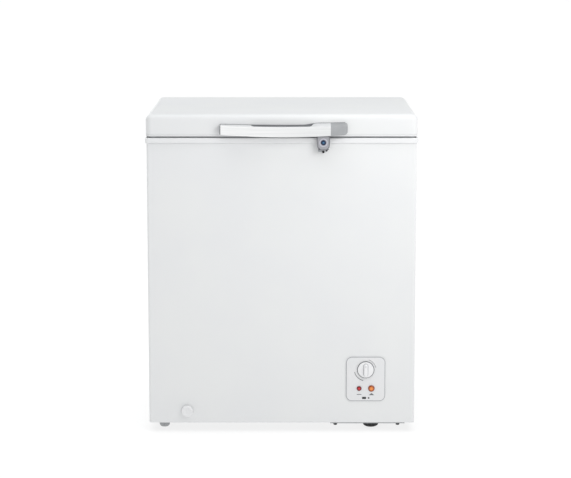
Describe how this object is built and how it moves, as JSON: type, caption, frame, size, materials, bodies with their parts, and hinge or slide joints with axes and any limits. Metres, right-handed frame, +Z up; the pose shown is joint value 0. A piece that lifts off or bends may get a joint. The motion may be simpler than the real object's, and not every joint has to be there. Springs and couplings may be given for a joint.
{
  "type": "chest freezer",
  "caption": "Compact top-opening chest freezer with a bowed front handle and key lock, corner control panel, drain outlet, sprung rear hinges and a sliding wire basket.",
  "frame": {"origin": "centre of the bounding box's base, on the floor under the freezer", "axes": "+Z up, -Y towards the front with the handle and controls, +X to the right seen from the front"},
  "size_m": [0.702, 0.559, 0.837],
  "materials": {
    "white_steel": "gloss",
    "white_plastic": "satin",
    "white_lacquer": "satin",
    "grey_plastic": "satin",
    "handle_grey": "satin",
    "brushed_strip": "satin",
    "zinc_steel": "satin",
    "black_rubber": "matte",
    "black_steel": "satin",
    "motor_iron": "matte",
    "copper": "satin",
    "foam": "matte",
    "seal_rubber": "matte",
    "knob_plastic": "satin",
    "thermostat_plastic": "satin",
    "lock_blue": "gloss",
    "coated_wire": "gloss",
    "red_lens": "gloss",
    "orange_lens": "gloss"
  },
  "bodies": {
    "cabinet": {"cabinet_wrap": "white_steel", "back_panel": "white_steel", "base_panel": "zinc_steel", "compressor_base_plate": "zinc_steel", "cabinet_liner": "white_lacquer", "cabinet_foam": "foam", "top_frame": "white_plastic", "evaporator_coil": "copper", "condenser_coil": "copper", "compressor_shell": "black_steel", "compressor_motor": "motor_iron", "compressor_foot_plate": "black_steel", "relay_cover": "black_rubber", "filter_dryer": "copper", "suction_pipe": "copper", "discharge_pipe": "copper", "capillary_pipe": "copper", "machine_cover": "white_steel", "cord_inlet": "black_rubber", "control_panel": "white_plastic", "thermostat": "thermostat_plastic", "red_lamp": "red_lens", "orange_lamp": "orange_lens", "drain_tube": "white_plastic", "lock_keeper": "zinc_steel", "foot_front_left": "grey_plastic", "foot_rear_left": "grey_plastic", "foot_front_right": "black_rubber", "foot_rear_right": "black_rubber", "hinge_bracket_left": "zinc_steel", "hinge_pin_left": "zinc_steel", "hinge_spring_left": "zinc_steel", "hinge_bracket_right": "zinc_steel", "hinge_pin_right": "zinc_steel", "hinge_spring_right": "zinc_steel", "base_bolt_front_left": "black_steel", "compressor_mount_front_left": "black_rubber", "base_bolt_front_right": "black_steel", "compressor_mount_front_right": "black_rubber", "base_bolt_rear_left": "black_steel", "compressor_mount_rear_left": "black_rubber", "base_bolt_rear_right": "black_steel", "compressor_mount_rear_right": "black_rubber"},
    "lid": {"lid_panel": "white_steel", "lid_liner": "white_plastic", "lid_foam": "foam", "lid_gasket": "seal_rubber", "handle_body": "handle_grey", "handle_strip": "brushed_strip", "handle_end": "grey_plastic", "lock_housing": "grey_plastic", "hinge_leaf_left": "zinc_steel", "hinge_leaf_right": "zinc_steel"},
    "lock": {"lock_cylinder": "lock_blue", "lock_cam": "zinc_steel"},
    "knob": {"thermostat_knob": "knob_plastic"},
    "drain_outlet": {"drain_spout": "white_plastic"},
    "drain_end": {"drain_dial": "white_plastic"},
    "stopper": {"drain_plug": "seal_rubber"},
    "basket": {"storage_basket": "coated_wire"}
  },
  "joints": [
    {"name": "lid_hinge", "type": "hinge", "parent": "cabinet", "child": "lid", "pos_m": [0, 0.2705, 0.776], "axis": [-1, 0, 0], "range_deg": [0, 80], "stiffness_Nm_per_rad": 7.5, "springref_deg": 89.95, "deforming": ["hinge_spring_left", "hinge_spring_right"]},
    {"name": "lock_turn", "type": "hinge", "parent": "lid", "child": "lock", "pos_m": [0.107, -0.249, 0.766], "axis": [0, 1, 0], "range_deg": [0, 90]},
    {"name": "thermostat_turn", "type": "hinge", "parent": "cabinet", "child": "knob", "pos_m": [0.2195, -0.2445, 0.1676], "axis": [0, 1, 0], "range_deg": [-135, 135]},
    {"name": "drain_pull", "type": "slide", "parent": "cabinet", "child": "drain_outlet", "axis": [0, -1, 0], "range_m": [0, 0.025]},
    {"name": "drain_dial_turn", "type": "hinge", "parent": "drain_outlet", "child": "drain_end", "pos_m": [-0.2479, -0.2445, 0.0565], "axis": [0, -1, 0], "range_deg": [0, 180]},
    {"name": "stopper_lift", "type": "slide", "parent": "cabinet", "child": "stopper", "axis": [0, 0, 1], "range_m": [0, 0.03]},
    {"name": "basket_slide", "type": "slide", "parent": "cabinet", "child": "basket", "axis": [-1, 0, 0], "range_m": [0, 0.32]}
  ]
}
